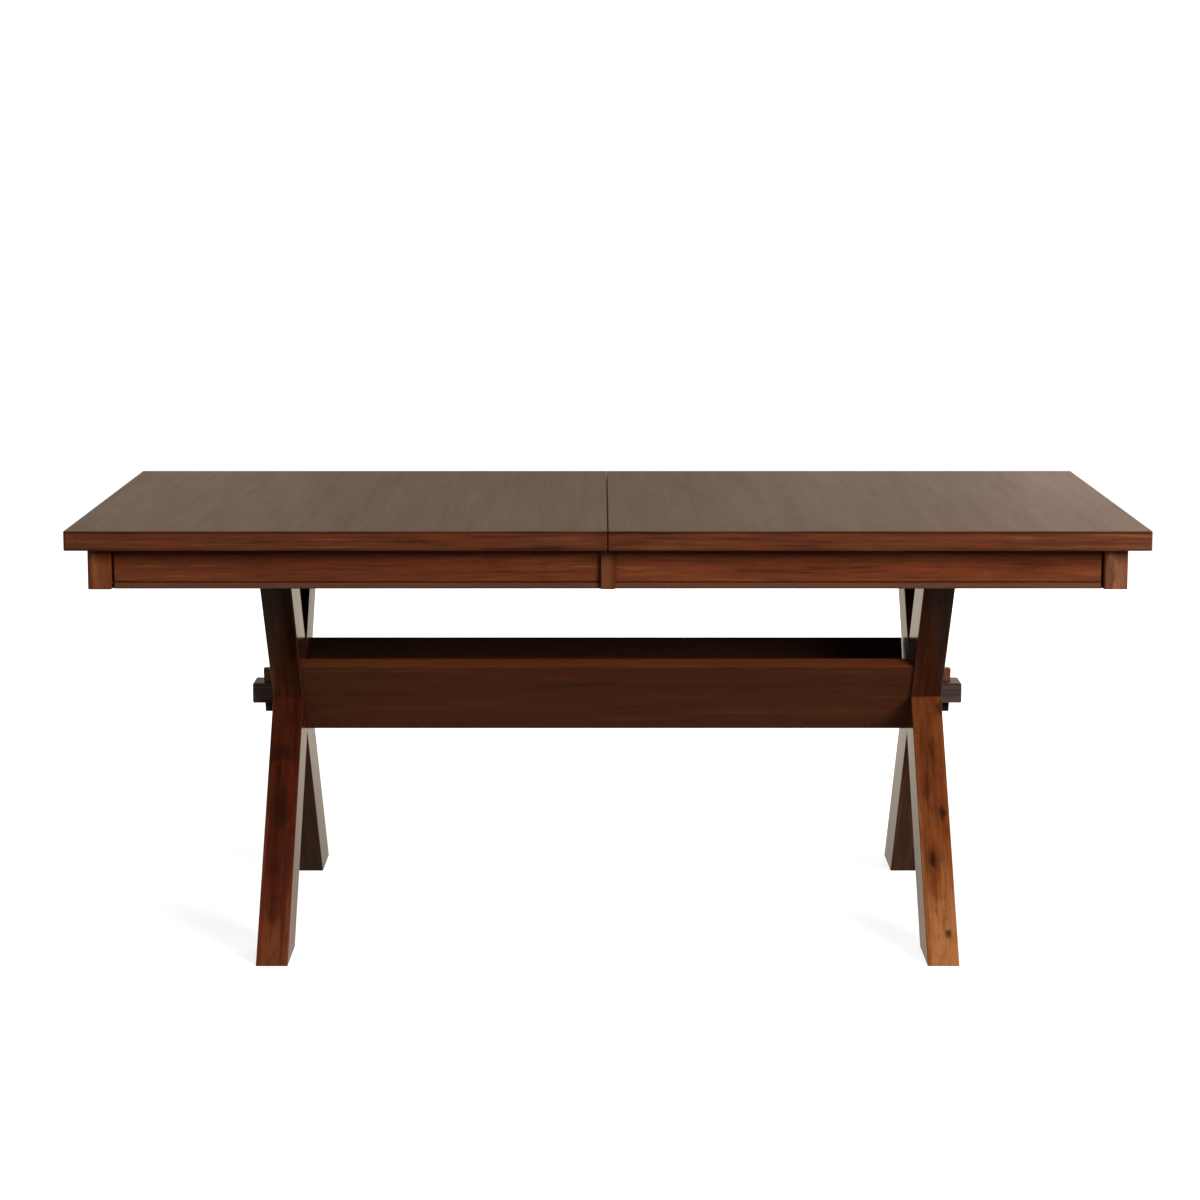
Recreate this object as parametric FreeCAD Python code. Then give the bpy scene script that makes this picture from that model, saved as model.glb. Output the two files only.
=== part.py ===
import FreeCAD, Part
import math
import os

from FreeCAD import Vector

# Sawbuck extension table, in millimetres.
# X runs along the table (left is -X), Y runs from front (-Y) to back, Z is up from the floor.
# The origin is on the floor under the middle of the closed top.

# Overall sizes
table_length = 1829.0
table_width = 965.0
table_height = 762.0

# Top: two veneered panels with solid lippings
top_thickness = 33.5
seam_gap = 0.4
lipping_width = 20.0
top_corner_round = 5.0
top_upper_round = 2.0
top_lower_round = 2.0
seam_edge_chamfer = 0.8

# Seam dowels, glued into the left half
dowel_radius = 5.0
dowel_length = 34.0
dowel_glue_gap = 0.05
dowel_play = 0.3
dowel_end_gap = 1.0
dowel_count = 3
dowel_margin = 85.0

# Apron frame under each half
apron_overhang = 34.5
apron_height = 70.0
apron_thickness = 20.0
apron_recess = 9.0
apron_tenon_thickness = 10.0
apron_tenon_shoulder = 10.0
apron_tenon_end_gap = 1.0
shadow_groove_width = 4.5
bead_height = 10.5
bead_round = 3.0
bead_proud = 1.5
quirk_width = 2.5
quirk_depth = 3.0
post_size = 40.0
post_round = 5.0
centre_post_width = 24.0
centre_post_round = 2.0
centre_post_clearance = 0.4

# Corner braces inside the apron frame
brace_thickness = 22.0
brace_height = 45.0
brace_lift = 8.0
brace_post_gap = 8.0

# X trestles
trestle_setback = 307.0
leg_thickness = 55.0
leg_width = 105.0
leg_round = 2.5
foot_inset = 48.5
leg_head_inset = 24.0
leg_tenon_thickness = 24.0
leg_tenon_width = 80.0
leg_tenon_height = 20.0
leg_tenon_play = 0.2
leg_tenon_end_gap = 0.8

# Bearers on the trestles
bearer_thickness = 40.0
bearer_width = 70.0
bearer_rail_margin = 40.0
bearer_end_slope = 22.0

# Stretcher rail, tusk wedges and trough boards
stretcher_width = 66.0
stretcher_height = 36.0
stretcher_end_chamfer = 2.0
mortise_clearance = 0.3
tenon_projection = 41.0
wedge_top_width = 23.0
wedge_bottom_width = 20.0
wedge_height = 80.0
wedge_rise = 2.0
wedge_thickness = 20.0
wedge_round = 1.5
wedge_side_clearance = 0.2
wedge_relief = 3.0
trough_board_width = 180.0
trough_board_thickness = 20.0
trough_back_rise = 6.3
trough_back_play = 2.5
trough_inset = 4.0
trough_edge_round = 1.5

# Extension slides: grooved rails on the base, tongued runners under the top
slide_travel = 228.5
slide_spacing = 500.0
slide_rail_width = 40.0
slide_rail_height = 40.5
slide_rail_overhang = 35.0
slide_top_clearance = 2.0
slide_groove_height = 14.0
slide_groove_depth = 12.0
slide_clearance = 0.4
rail_housing_depth = 4.0
rail_housing_play = 0.2
runner_width = 30.0
runner_reach = 330.0
runner_end_gap = 15.0
runner_bearer_clearance = 4.0
runner_relief = 1.0
runner_relief_lead = 2.0
stop_length = 24.0
stop_clearance = 0.5

# Seam latches
latch_plate_thickness = 2.0
latch_plate_length = 52.0
latch_plate_width = 36.0
latch_plate_corner = 5.0
latch_plate_setback = 8.0
latch_lever_thickness = 3.0
latch_reach = 60.0
latch_hook_radius = 14.0
latch_arm_width = 18.0
latch_tail = 30.0
latch_tail_width = 14.0
latch_tab_drop = 12.0
latch_pivot_radius = 3.0
latch_pivot_clearance = 0.06
latch_stud_radius = 4.0
latch_stud_clearance = 0.4
latch_head_extra = 3.0
latch_head_height = 2.0
latch_play = 0.3
latch_runner_gap = 14.0

# Cutting tools run past the faces that they cut by this much
past = 10.0

# Levels that follow from the sizes above
underside = table_height - top_thickness
apron_bottom = underside - apron_height
slide_rail_top = underside - slide_top_clearance
slide_rail_bottom = slide_rail_top - slide_rail_height
groove_middle = slide_rail_bottom + slide_rail_height / 2
groove_low = groove_middle - slide_groove_height / 2
groove_high = groove_middle + slide_groove_height / 2
bearer_top = slide_rail_bottom + rail_housing_depth
bearer_bottom = bearer_top - bearer_thickness
runner_bottom = bearer_top + runner_bearer_clearance
dowel_level = underside + top_thickness / 2

# Positions along and across the table
half_length = table_length / 2
half_width = table_width / 2
seam = seam_gap / 2
frame_x = half_length - apron_overhang
frame_y = half_width - apron_overhang
apron_face_x = frame_x - apron_recess
apron_face_y = frame_y - apron_recess
apron_inside_x = apron_face_x - apron_thickness
apron_inside_y = apron_face_y - apron_thickness
trestle_outer = half_length - trestle_setback
trestle_inner = trestle_outer - leg_thickness
trestle_middle = trestle_outer - leg_thickness / 2

# Slides: the rails stand near the ends of the bearers, a stop closes the groove at the end of the travel
slide_y = slide_spacing / 2
slide_rail_half = trestle_outer + slide_rail_overhang
tongue_outer = slide_rail_half - stop_length - stop_clearance - slide_travel
runner_outer = apron_inside_x - runner_end_gap
runner_offset = slide_rail_width / 2 + slide_clearance + runner_width / 2
runner_inner_face = slide_y - runner_offset - runner_width / 2
bearer_half = slide_y + slide_rail_width / 2 + bearer_rail_margin

# Lean of the legs from the vertical, from the outer corner of the foot to the outer corner of the head
foot_reach = half_width - foot_inset
head_reach = bearer_half - leg_head_inset
leg_diagonal = math.hypot(foot_reach + head_reach, bearer_bottom)
lean = math.acos(leg_width / leg_diagonal) - math.atan2(bearer_bottom, foot_reach + head_reach)
lean_sin = math.sin(lean)
lean_cos = math.cos(lean)
lean_tan = math.tan(lean)
leg_half_cut = leg_width / 2 / lean_cos
leg_foot = foot_reach - leg_half_cut
leg_head = head_reach - leg_half_cut
crossing_height = leg_foot / lean_tan

# Apron tenons stop short of the ones that come from the other side of the post
apron_tenon_inset = (apron_thickness - apron_tenon_thickness) / 2
apron_tenon_room = post_size - apron_recess - apron_tenon_inset - apron_tenon_thickness
apron_tenon_length = apron_tenon_room - apron_tenon_end_gap

# Trough: boards parallel to the legs, measured from the crossing along the board
trough_offset = leg_width / 2 - trough_inset
trough_foot = -trough_offset / lean_tan + trough_board_thickness / math.tan(2 * lean)
trough_head = trough_foot + trough_board_width
trough_floor = crossing_height - (trough_offset - trough_board_thickness) / lean_sin

# Latches: the open levers end short of the runners
latch_y = runner_inner_face - latch_runner_gap - latch_reach - latch_hook_radius
latch_pivot_x = latch_reach / 2
latch_level = underside - latch_plate_thickness


# Basic shapes
def block(x0, x1, y0, y1, z0, z1):
    return Part.makeBox(x1 - x0, y1 - y0, z1 - z0, Vector(x0, y0, z0))


def disc(radius, x, y, z0, z1):
    return Part.makeCylinder(radius, z1 - z0, Vector(x, y, z0))


def prism(points, along):
    return Part.Face(Part.makePolygon(points + points[:1])).extrude(along)


def prism_x(outline, x0, x1):
    return prism([Vector(x0, y, z) for y, z in outline], Vector(x1 - x0, 0, 0))


def prism_y(outline, y0, y1):
    return prism([Vector(x, y0, z) for x, z in outline], Vector(0, y1 - y0, 0))


def prism_z(outline, z0, z1):
    return prism([Vector(x, y, z0) for x, y in outline], Vector(0, 0, z1 - z0))


def mirror_x(shape):
    return shape.mirror(Vector(0, 0, 0), Vector(1, 0, 0))


def mirror_y(shape):
    return shape.mirror(Vector(0, 0, 0), Vector(0, 1, 0))


def same(shape):
    return shape


def joined(first, *others):
    return first.fuse(list(others)).removeSplitter()


def rounded(shape, radius, wanted):
    return shape.makeFillet(radius, [edge for edge in shape.Edges if wanted(edge)])


def span(edge):
    return edge.Vertexes[-1].Point.sub(edge.Vertexes[0].Point)


def upright(edge):
    return abs(span(edge).z) > 0.9 * edge.Length


def level(edge, z):
    return edge.BoundBox.ZLength < 1e-6 and abs(edge.BoundBox.ZMin - z) < 1e-6


# Trestles: two legs half-lapped into an X, the front one inside, the back one outside
def leg_outline(front_foot):
    side = 1 if front_foot else -1
    foot = -side * leg_foot
    head = side * leg_head
    return [
        (foot - leg_half_cut, 0),
        (foot + leg_half_cut, 0),
        (head + leg_half_cut, bearer_bottom),
        (head - leg_half_cut, bearer_bottom),
    ]


def leg_tenon(head, play, end_gap):
    x = leg_tenon_thickness / 2 + play
    y = leg_tenon_width / 2 + play
    top = bearer_bottom + leg_tenon_height + end_gap
    return block(trestle_middle - x, trestle_middle + x, head - y, head + y, bearer_bottom - 1, top)


def leg(front_foot):
    beam = prism_x(leg_outline(front_foot), trestle_inner, trestle_outer)
    beam = rounded(beam, leg_round, lambda edge: abs(span(edge).x) < 1e-6 and span(edge).z != 0)
    if front_foot:
        lap = prism_x(leg_outline(False), trestle_middle, trestle_outer + past)
    else:
        lap = prism_x(leg_outline(True), trestle_inner - past, trestle_middle)
    y = stretcher_width / 2 + mortise_clearance
    z = stretcher_height / 2 + mortise_clearance
    mortise = block(
        trestle_inner - past, trestle_outer + past,
        -y, y,
        crossing_height - z, crossing_height + z,
    )
    head = leg_head if front_foot else -leg_head
    return joined(beam.cut(lap).cut(mortise), leg_tenon(head, 0, 0))


def bearer():
    outline = [
        (-bearer_half + bearer_end_slope, bearer_bottom),
        (bearer_half - bearer_end_slope, bearer_bottom),
        (bearer_half, bearer_bottom + bearer_end_slope),
        (bearer_half, bearer_top),
        (-bearer_half, bearer_top),
        (-bearer_half, bearer_bottom + bearer_end_slope),
    ]
    x0 = trestle_middle - bearer_width / 2
    x1 = trestle_middle + bearer_width / 2
    bar = prism_x(outline, x0, x1)
    wide = slide_rail_width / 2 + rail_housing_play
    for y in (-slide_y, slide_y):
        bar = bar.cut(block(x0 - past, x1 + past, y - wide, y + wide, slide_rail_bottom, bearer_top + past))
    for head in (-leg_head, leg_head):
        bar = bar.cut(leg_tenon(head, leg_tenon_play, leg_tenon_end_gap))
    return bar


# Trough: a point of a board goes up along it from the crossing, and in from its outer face
def trough_point(along, inward, side):
    across = inward - trough_offset
    y = across * lean_cos - along * lean_sin
    z = crossing_height + across * lean_sin + along * lean_cos
    return (side * y, z)


def trough_board(foot, head, side, play):
    outline = [
        trough_point(foot, 0, side),
        trough_point(foot, trough_board_thickness, side),
        trough_point(head, trough_board_thickness, side),
        trough_point(head, 0, side),
    ]
    return prism_x(outline, -trestle_inner, trestle_inner - play)


def eased(board):
    low = board.BoundBox.ZMax - trough_board_thickness
    return rounded(board, trough_edge_round, lambda edge: edge.BoundBox.ZMin > low and abs(span(edge).x) > 1)


def trough_front_board():
    return eased(trough_board(trough_foot, trough_head, 1, 0))


def trough_back_board():
    # Stands a little higher than the front board, and its lower edge is bevelled to lie on that board's inner face
    foot = trough_foot - trough_board_thickness
    board = trough_board(foot, trough_head + trough_back_rise, -1, trough_back_play)
    reach = 2 * trough_board_width
    beyond = [
        trough_point(-reach, trough_board_thickness, 1),
        trough_point(reach, trough_board_thickness, 1),
        trough_point(reach, -reach, 1),
        trough_point(-reach, -reach, 1),
    ]
    return eased(board.cut(prism_x(beyond, -trestle_outer, trestle_outer)))


# Stretcher rail: a tenon at each end, its lower corners bevelled between the trestles to lie in the trough
def wedge_outline(relief):
    bottom = crossing_height + wedge_rise - wedge_height / 2
    return [
        (trestle_outer - relief, bottom),
        (trestle_outer + wedge_bottom_width, bottom),
        (trestle_outer + wedge_top_width, bottom + wedge_height),
        (trestle_outer - relief, bottom + wedge_height),
    ]


def stretcher_rail():
    y = stretcher_width / 2
    z = stretcher_height / 2
    end = trestle_outer + tenon_projection
    bar = block(-end, end, -y, y, crossing_height - z, crossing_height + z)
    ends = [edge for edge in bar.Edges if abs(edge.CenterOfMass.x) > end - 1]
    bar = bar.makeChamfer(stretcher_end_chamfer, ends)
    reach = 2 * stretcher_width
    for side in (-1, 1):
        outside = [
            (0, trough_floor),
            (side * reach * lean_tan, trough_floor + reach),
            (side * reach * lean_tan, trough_floor - reach),
            (0, trough_floor - reach),
        ]
        bar = bar.cut(prism_x(outside, -trestle_inner, trestle_inner))
    half_slot = wedge_thickness / 2 + wedge_side_clearance
    slot = prism_y(wedge_outline(wedge_relief), -half_slot, half_slot)
    return bar.cut(slot).cut(mirror_x(slot))


def wedge():
    key = prism_y(wedge_outline(0), -wedge_thickness / 2, wedge_thickness / 2)
    return rounded(key, wedge_round, lambda edge: edge.BoundBox.ZLength < 1e-6)


# Extension slides, drawn for the back rail
def slide_rail():
    side = slide_rail_width / 2
    floor = side - slide_groove_depth
    right = [
        (side, slide_rail_bottom),
        (side, groove_low),
        (floor, groove_low),
        (floor, groove_high),
        (side, groove_high),
        (side, slide_rail_top),
    ]
    left = [(-y, z) for y, z in reversed(right)]
    return prism_x([(slide_y + y, z) for y, z in right + left], -slide_rail_half, slide_rail_half)


def slide_stops():
    side = slide_rail_width / 2
    floor = side - slide_groove_depth
    start = slide_rail_half - stop_length
    outer = block(-slide_rail_half, -start, slide_y + floor, slide_y + side, groove_low, groove_high)
    inner = block(start, slide_rail_half, slide_y - side, slide_y - floor, groove_low, groove_high)
    return Part.makeCompound([outer, inner, mirror_y(outer), mirror_y(inner)])


def runner(outside):
    # Drawn for the left half: screwed under its own half, it passes under the other one a little lower
    side = 1 if outside else -1
    middle = slide_y + side * runner_offset
    near = middle - runner_width / 2
    far = middle + runner_width / 2
    bar = block(-runner_outer, runner_reach, near, far, runner_bottom, underside)
    relief = block(
        -seam - runner_relief_lead, runner_reach + past,
        near - past, far + past,
        underside - runner_relief, underside + past,
    )
    tip = slide_y + side * (slide_rail_width / 2 - slide_groove_depth + slide_clearance)
    tongue = block(
        -tongue_outer, runner_reach,
        min(tip, middle), max(tip, middle),
        groove_low + slide_clearance, groove_high - slide_clearance,
    )
    return joined(bar.cut(relief), tongue)


# Top: the left half is shaped whole, then divided into the panel and its lippings, mitred at the corners
def half_slab():
    slab = block(-half_length, past, -half_width, half_width, underside, table_height)
    slab = rounded(slab, top_corner_round, lambda edge: upright(edge) and edge.CenterOfMass.x < 0)
    slab = rounded(slab, top_upper_round, lambda edge: level(edge, table_height) and edge.CenterOfMass.x < 0)
    slab = rounded(slab, top_lower_round, lambda edge: level(edge, underside) and edge.CenterOfMass.x < 0)
    y = half_width + past
    slab = slab.cut(block(-seam, 2 * past, -y, y, underside - past, table_height + past))
    corner = [
        (-seam - seam_edge_chamfer - past, table_height + past),
        (-seam + past, table_height + past),
        (-seam + past, table_height - seam_edge_chamfer - past),
    ]
    return slab.cut(prism_y(corner, -y, y))


def divided(slab):
    x = half_length
    y = half_width
    inner_x = half_length - lipping_width
    inner_y = half_width - lipping_width
    front = [(-x - past, -y - past), (past, -y - past), (past, -inner_y), (-inner_x, -inner_y)]
    end = [(-x - past, -y - past), (-inner_x, -inner_y), (-inner_x, inner_y), (-x - past, y + past)]
    front_region = prism_z(front, underside - past, table_height + past)
    end_region = prism_z(end, underside - past, table_height + past)
    seam_x = -seam - lipping_width
    seam_region = block(seam_x, past, -inner_y, inner_y, underside - past, table_height + past)
    panel_region = block(-inner_x, seam_x, -inner_y, inner_y, underside - past, table_height + past)
    return {
        "front_lipping": slab.common(front_region),
        "back_lipping": slab.common(mirror_y(front_region)),
        "end_lipping": slab.common(end_region),
        "seam_lipping": slab.common(seam_region),
        "top_panel": slab.common(panel_region),
    }


def dowels(radius, start, end):
    step = (table_width - 2 * dowel_margin) / (dowel_count - 1)
    pins = []
    for i in range(dowel_count):
        foot = Vector(start, -half_width + dowel_margin + i * step, dowel_level)
        pins.append(Part.makeCylinder(radius, end - start, foot, Vector(1, 0, 0)))
    return Part.makeCompound(pins)


# Aprons: a beaded section, drawn with its face towards -Y and its bottom at Z = 0
def at(y, z):
    return Vector(0, y, z)


def apron_section():
    nose = bead_round - bead_proud
    low = bead_height - bead_round
    turn = bead_round * math.sqrt(0.5)
    quirk_top = bead_height + quirk_width
    upper_arc = Part.Arc(at(nose, bead_height), at(nose - turn, low + turn), at(-bead_proud, low))
    lower_arc = Part.Arc(at(-bead_proud, bead_round), at(nose - turn, bead_round - turn), at(nose, 0))
    face_line = [
        at(nose, 0),
        at(apron_thickness, 0),
        at(apron_thickness, apron_height),
        at(0, apron_height),
        at(0, quirk_top),
        at(quirk_depth, quirk_top),
        at(quirk_depth, bead_height),
        at(nose, bead_height),
    ]
    edges = [Part.makeLine(a, b) for a, b in zip(face_line, face_line[1:])]
    edges.append(upper_arc.toShape())
    edges.append(Part.makeLine(at(-bead_proud, low), at(-bead_proud, bead_round)))
    edges.append(lower_arc.toShape())
    return Part.Face(Part.Wire(edges))


def apron_board(length, end_tenon):
    # The face is cut back beside each post, so that a shadow line shows there
    board = apron_section().extrude(Vector(length, 0, 0))
    y0 = apron_tenon_inset
    y1 = apron_tenon_inset + apron_tenon_thickness
    z0 = apron_tenon_shoulder
    z1 = apron_height - apron_tenon_shoulder
    groove = shadow_groove_width
    board = board.cut(block(-past, groove, -past, y0, -past, apron_height + past))
    tenons = [block(-apron_tenon_length, groove, y0, y1, z0, z1)]
    if end_tenon:
        board = board.cut(block(length - groove, length + past, -past, y0, -past, apron_height + past))
        tenons.append(block(length - groove, length + apron_tenon_length, y0, y1, z0, z1))
    return joined(board, *tenons)


def side_apron():
    board = apron_board(frame_x - post_size - seam, False)
    board.translate(Vector(post_size - frame_x, -apron_face_y, apron_bottom))
    return board


def end_apron():
    board = apron_board(2 * (frame_y - post_size), True)
    board.rotate(Vector(0, 0, 0), Vector(0, 0, 1), -90)
    board.translate(Vector(-apron_face_x, frame_y - post_size, apron_bottom))
    return board


def corner_post():
    body = block(-frame_x, post_size - frame_x, -frame_y, post_size - frame_y, apron_bottom, underside)
    return rounded(body, post_round, upright).cut(side_apron()).cut(end_apron())


def centre_post():
    # Glued to the left apron; it laps the right half with a little clearance
    wide = centre_post_width / 2
    ledge = apron_bottom + bead_height + quirk_width
    bead_face = -apron_face_y - bead_proud - centre_post_clearance
    outline = [
        (-frame_y, apron_bottom),
        (bead_face, apron_bottom),
        (bead_face, ledge),
        (-apron_face_y, ledge),
        (-apron_face_y, underside),
        (-frame_y, underside),
    ]
    body = prism_x(outline, -wide, wide)
    front = -frame_y + 1e-6
    body = rounded(body, centre_post_round, lambda edge: upright(edge) and edge.BoundBox.YMax < front)
    behind = block(
        -seam, wide + past,
        -apron_face_y - centre_post_clearance, -apron_face_y + past,
        apron_bottom - past, underside + past,
    )
    above = block(
        -seam, wide + past,
        -frame_y - past, -apron_face_y + past,
        underside - centre_post_clearance, underside + past,
    )
    return body.cut(behind).cut(above)


def brace():
    post_corner = 2 * (post_size - apron_recess - apron_thickness)
    near = post_corner + brace_post_gap
    far = near + brace_thickness * math.sqrt(2)
    x = -apron_inside_x
    y = -apron_inside_y
    bottom = apron_bottom + brace_lift
    return prism_z([(x + near, y), (x + far, y), (x, y + far), (x, y + near)], bottom, bottom + brace_height)


# Seam latches: a hooked lever on the left half swings over a stud on the right half
def latch_plate(start, stud_x, radius):
    end = start + latch_plate_length
    low = latch_y - latch_plate_width / 2
    high = latch_y + latch_plate_width / 2
    cut = latch_plate_corner
    outline = [
        (start + cut, low),
        (end - cut, low),
        (end, low + cut),
        (end, high - cut),
        (end - cut, high),
        (start + cut, high),
        (start, high - cut),
        (start, low + cut),
    ]
    seat = latch_level - latch_lever_thickness - 2 * latch_play
    shank = disc(radius, stud_x, latch_y, seat - latch_head_height / 2, underside - latch_plate_thickness / 2)
    head = disc(radius + latch_head_extra, stud_x, latch_y, seat - latch_head_height, seat)
    return joined(prism_z(outline, latch_level, underside), shank, head)


def latch_lever():
    # Drawn locked, with the pivot at the origin and the hook on +X, then swung aside to the open position
    thick = latch_lever_thickness
    reach = latch_reach
    arm = latch_arm_width / 2
    tail = latch_tail_width / 2
    body = joined(
        disc(arm, 0, 0, 0, thick),
        block(0, reach, -arm, arm, 0, thick),
        disc(latch_hook_radius, reach, 0, 0, thick),
        block(-latch_tail, 0, -tail, tail, 0, thick),
        block(-latch_tail, thick - latch_tail, -tail, tail, -latch_tab_drop, thick),
    )
    half_slot = latch_stud_radius + latch_stud_clearance
    ring = disc(reach + half_slot, 0, 0, -past, past).cut(disc(reach - half_slot, 0, 0, -past, past))
    slot = ring.common(block(0, 2 * reach, 0, reach, -past, past))
    body = body.cut(slot).cut(disc(half_slot, reach, 0, -past, past))
    body = body.cut(disc(latch_pivot_radius + latch_pivot_clearance, 0, 0, -past, past))
    body.rotate(Vector(0, 0, 0), Vector(0, 0, 1), -90)
    body.translate(Vector(-latch_pivot_x, -latch_y, latch_level - latch_play - thick))
    return body


# All pieces of the table, by name
def base_pieces():
    rail = slide_rail()
    return {
        "left_front_leg": mirror_x(leg(True)),
        "left_back_leg": mirror_x(leg(False)),
        "right_front_leg": leg(True),
        "right_back_leg": leg(False),
        "left_bearer": mirror_x(bearer()),
        "right_bearer": bearer(),
        "stretcher_rail": stretcher_rail(),
        "left_wedge": mirror_x(wedge()),
        "right_wedge": wedge(),
        "trough_front_board": trough_front_board(),
        "trough_back_board": trough_back_board(),
        "front_slide_rail": mirror_y(rail),
        "back_slide_rail": rail,
        "slide_stops": slide_stops(),
    }


def half_pieces(name, place, outside):
    # place carries a piece drawn for the left half to its own half
    pieces = divided(half_slab())
    pieces["end_apron"] = end_apron()
    for row, turn in (("front", same), ("back", mirror_y)):
        pieces[row + "_apron"] = turn(side_apron())
        pieces[row + "_post"] = turn(corner_post())
        pieces[row + "_brace"] = turn(brace())
    pieces["front_runner"] = mirror_y(runner(outside))
    pieces["back_runner"] = runner(outside)
    return {name + "_" + key: place(piece) for key, piece in pieces.items()}


def left_half_pieces():
    pieces = half_pieces("left", same, True)
    start = -seam - dowel_length / 2
    holes = dowels(dowel_radius + dowel_glue_gap, start - dowel_end_gap, past)
    pieces["left_seam_lipping"] = pieces["left_seam_lipping"].cut(holes)
    pieces["seam_dowels"] = dowels(dowel_radius, start, start + dowel_length)
    pieces["front_centre_post"] = centre_post()
    pieces["back_centre_post"] = mirror_y(centre_post())
    plate = latch_plate(-latch_plate_setback - latch_plate_length, -latch_pivot_x, latch_pivot_radius)
    pieces["front_latch_plate"] = mirror_y(plate)
    pieces["back_latch_plate"] = plate
    return pieces


def right_half_pieces():
    pieces = half_pieces("right", mirror_x, False)
    end = dowel_length / 2 - seam
    holes = dowels(dowel_radius + dowel_play, -past, end + dowel_end_gap)
    pieces["right_seam_lipping"] = pieces["right_seam_lipping"].cut(holes)
    keeper = latch_plate(latch_plate_setback, latch_reach - latch_pivot_x, latch_stud_radius)
    pieces["front_latch_keeper"] = mirror_y(keeper)
    pieces["back_latch_keeper"] = keeper
    return pieces


def lever_pieces():
    lever = latch_lever()
    return {"front_latch_lever": lever, "back_latch_lever": mirror_y(lever)}


os.makedirs("parts", exist_ok=True)
for group in (base_pieces(), left_half_pieces(), right_half_pieces(), lever_pieces()):
    for node, shape in group.items():
        shape.exportStep("parts/" + node + ".step")
        print(node, len(shape.Solids), round(shape.Volume / 1000, 1), shape.isValid())
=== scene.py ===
# %% [markdown]
# # A sawbuck table with a sliding top
# The shapes of this table were made in CAD: two X-shaped trestles, a trough between them, and a top in two
# halves that slide apart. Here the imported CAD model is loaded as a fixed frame. Nothing in it is moved.
# The lesson adds what CAD leaves out: a camera, light, wood with grain, metal, and the small screws.

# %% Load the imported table
import math

import bpy
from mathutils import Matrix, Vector


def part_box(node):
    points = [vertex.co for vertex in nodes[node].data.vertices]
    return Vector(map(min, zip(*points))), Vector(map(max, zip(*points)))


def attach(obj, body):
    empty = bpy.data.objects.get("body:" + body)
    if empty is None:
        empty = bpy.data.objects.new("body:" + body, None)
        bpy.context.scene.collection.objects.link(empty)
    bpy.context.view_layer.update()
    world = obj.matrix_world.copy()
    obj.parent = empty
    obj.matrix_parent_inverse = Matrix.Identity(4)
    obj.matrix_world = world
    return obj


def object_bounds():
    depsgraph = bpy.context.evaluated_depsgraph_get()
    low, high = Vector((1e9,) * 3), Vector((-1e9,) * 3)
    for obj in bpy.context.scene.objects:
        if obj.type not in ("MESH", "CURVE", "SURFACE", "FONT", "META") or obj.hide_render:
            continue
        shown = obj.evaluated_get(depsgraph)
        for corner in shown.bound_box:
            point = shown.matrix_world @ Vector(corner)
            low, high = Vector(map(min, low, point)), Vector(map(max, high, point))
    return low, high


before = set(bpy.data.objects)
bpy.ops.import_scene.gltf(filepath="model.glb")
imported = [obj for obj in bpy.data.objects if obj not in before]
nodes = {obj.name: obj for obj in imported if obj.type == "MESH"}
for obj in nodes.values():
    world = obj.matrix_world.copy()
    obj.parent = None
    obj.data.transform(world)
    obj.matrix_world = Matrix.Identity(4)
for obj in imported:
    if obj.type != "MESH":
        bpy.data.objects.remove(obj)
cad_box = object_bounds()
scene = bpy.context.scene
scene.view_settings.view_transform = "Standard"
MM = 0.001


def sides_in_mm(box):
    """The length, depth and height of a box that is given by two corners in metres."""
    return [round(side / MM, 1) for side in box[1] - box[0]]


print("loaded", len(nodes), "CAD nodes, table size in mm:", sides_in_mm(cad_box))

# %% [markdown]
# ## The camera
# The photograph looks at the long front side, a little from above, with a long lens. The lens, the height
# and the tilt could be guessed by eye. Here they were worked out from the pixels of known corners, such as
# the four corners of the top and the feet, so the render can be laid over the photograph.

# %% Camera
CAMERA_PLACE = (-0.0132, -5.8863, 1.4339)
TILT_DOWN = 8.3
FRAME_WIDTH, LENS = 36, 97.4
bpy.ops.object.select_all(action="DESELECT")
tilt = math.radians(90 - TILT_DOWN)
bpy.ops.object.camera_add(location=CAMERA_PLACE, rotation=(tilt, 0, 0))
camera = bpy.context.object
camera.name = "front_camera"
camera.data.sensor_width = FRAME_WIDTH
camera.data.lens = LENS
scene.camera = camera
print("camera: lens", LENS, "mm on a frame of", FRAME_WIDTH, "mm, tilted down", TILT_DOWN, "degrees")

# %% [markdown]
# ## Two small helpers for materials
# Colours are easiest to pick as sRGB hex values, the numbers that a picture editor shows. Blender mixes
# light in linear values, so one function turns the first into the second. A second function adds a node,
# sets it up and links it, so that a material reads as a short list of steps. Inputs that share a name are
# given by number. A Mix node has its share at 0, two numbers at 2 and 3, and two colours at 6 and 7. A Map
# Range node takes the value at 0 from the range at 1 and 2 to the range at 3 and 4.

# %% Colour and node helpers
def linear(hex_colour):
    """An sRGB hex colour as the linear RGBA that Blender's sockets take."""
    parts = [int(hex_colour[i : i + 2], 16) / 255 for i in (1, 3, 5)]
    return [c / 12.92 if c <= 0.04045 else ((c + 0.055) / 1.055) ** 2.4 for c in parts] + [1]


def add(owner, kind, inputs=None, out=0, **settings):
    """Adds one node to a material or world, sets and links its inputs, and returns one output."""
    new = owner.node_tree.nodes.new("ShaderNode" + kind)
    for key, value in settings.items():
        setattr(new, key, value)
    for key, value in (inputs or {}).items():
        if isinstance(value, bpy.types.NodeSocket):
            owner.node_tree.links.new(value, new.inputs[key])
        else:
            new.inputs[key].default_value = value
    return new.outputs[out] if new.outputs else new


def new_material(name):
    """A material with an empty node tree."""
    material = bpy.data.materials.new(name)
    material.use_nodes = True
    material.node_tree.nodes.clear()
    return material


print("half grey #808080 in linear light:", round(linear("#808080")[0], 3))

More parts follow.
